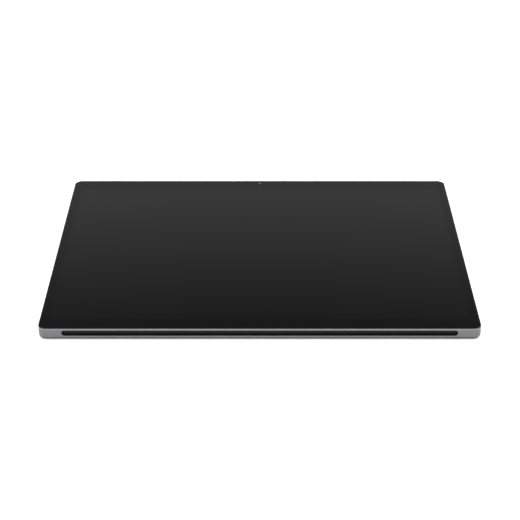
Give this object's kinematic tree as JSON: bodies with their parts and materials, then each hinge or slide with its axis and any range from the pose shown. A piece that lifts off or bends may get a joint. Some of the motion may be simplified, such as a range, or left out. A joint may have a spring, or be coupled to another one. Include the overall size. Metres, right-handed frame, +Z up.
{
  "type": "tablet computer",
  "caption": "Large flat tablet computer with a black glass front, grey metal body, keyboard dock groove along one long edge and a fold-out kickstand.",
  "frame": {"origin": "middle of the back, on the plane that the tablet rests on", "axes": "+X along the long edges, to the right as the screen is read with the camera edge away; -Y is the dock edge; +Z up through the glass"},
  "size_m": [0.287, 0.2084, 0.0083],
  "materials": {
    "housing_metal": "fine bead blasted and anodised, satin",
    "display_glass": "polished, printed black behind",
    "lens_glass": "polished and coated",
    "black_foam": "matt adhesive foam",
    "panel_film": "smooth",
    "bright_sheet": "stamped sheet",
    "circuit_board": "solder mask",
    "flex_film": "polyimide film",
    "black_plastic": "moulded, fine grain",
    "gold_contact": "gold plated",
    "black_anodised": "black anodised",
    "dark_contact": "dark plated",
    "dark_mesh": "black coated, perforated",
    "battery_foil": "laminated pouch",
    "chip_black": "moulded chip",
    "copper": "bare copper",
    "steel": "nickel plated",
    "groove_plastic": "moulded, matt",
    "magnet_nickel": "nickel plated",
    "window_plastic": "moulded, painted to match",
    "hinge_steel": "hardened, dark plated"
  },
  "bodies": {
    "tablet": {"rear_housing": "housing_metal", "cover_glass": "display_glass", "glass_adhesive": "black_foam", "touch_film": "panel_film", "display_panel": "panel_film", "display_back_plate": "bright_sheet", "display_board": "circuit_board", "display_cable": "flex_film", "front_camera": "black_plastic", "light_sensor": "black_plastic", "camera_bracket": "bright_sheet", "microphones": "gold_contact", "rear_camera_ring": "black_anodised", "rear_camera_window": "lens_glass", "rear_camera": "black_plastic", "speaker_left": "black_plastic", "speaker_right": "black_plastic", "speaker_meshes": "dark_mesh", "battery_cell_left": "battery_foil", "battery_cell_middle": "battery_foil", "battery_cell_right": "battery_foil", "battery_board": "circuit_board", "battery_cable": "black_plastic", "mainboard": "circuit_board", "processor": "chip_black", "memory_chips": "chip_black", "board_shields": "bright_sheet", "wireless_module": "bright_sheet", "heat_spreader": "copper", "heat_pipe": "copper", "board_screws": "steel", "ssd_card": "circuit_board", "ssd_socket": "black_plastic", "ssd_door": "housing_metal", "ssd_door_screw": "steel", "audio_jack": "black_plastic", "usb_port_upper": "steel", "usb_port_lower": "steel", "port_board": "circuit_board", "charge_port": "black_plastic", "charge_contacts": "gold_contact", "dock_groove_trim": "groove_plastic", "dock_contact_strip": "groove_plastic", "dock_contacts": "dark_contact", "dock_magnets": "magnet_nickel", "dock_board": "circuit_board", "antenna_windows": "window_plastic", "antennas": "flex_film", "card_reader": "bright_sheet", "button_board": "flex_film", "button_switches": "bright_sheet", "hinge_brackets": "hinge_steel", "hinge_screws": "steel"},
    "kickstand": {"kickstand": "housing_metal", "hinge_leaves": "hinge_steel"},
    "hinge_links": {"hinge_links": "hinge_steel"},
    "power_button": {"power_button": "housing_metal"},
    "volume_rocker": {"volume_rocker": "housing_metal"},
    "card_tray": {"card_tray": "housing_metal"}
  },
  "joints": [
    {"name": "kickstand_swing", "type": "hinge", "parent": "tablet", "child": "kickstand", "pos_m": [0, 0.008, 0], "axis": [1, 0, 0], "range_deg": [0, 165]},
    {"name": "hinge_link_swing", "type": "hinge", "parent": "tablet", "child": "hinge_links", "pos_m": [0, 0.008, 0], "axis": [1, 0, 0], "range_deg": [0, 82.5]},
    {"name": "power_button_press", "type": "slide", "parent": "tablet", "child": "power_button", "axis": [0, -1, 0], "range_m": [0, 0.00035], "stiffness_N_per_m": 4000, "springref_m": -0.0002},
    {"name": "volume_rocker_tip", "type": "hinge", "parent": "tablet", "child": "volume_rocker", "pos_m": [-0.092, 0.1012, 0.0049], "axis": [0, 0, 1], "range_deg": [-1.2, 1.2], "stiffness_Nm_per_rad": 0.3},
    {"name": "card_tray_slide", "type": "slide", "parent": "tablet", "child": "card_tray", "axis": [-1, 0, 0], "range_m": [0, 0.018]}
  ],
  "couplings": [
    {"joint": "hinge_link_swing", "follows": "kickstand_swing", "ratio": 0.5}
  ]
}
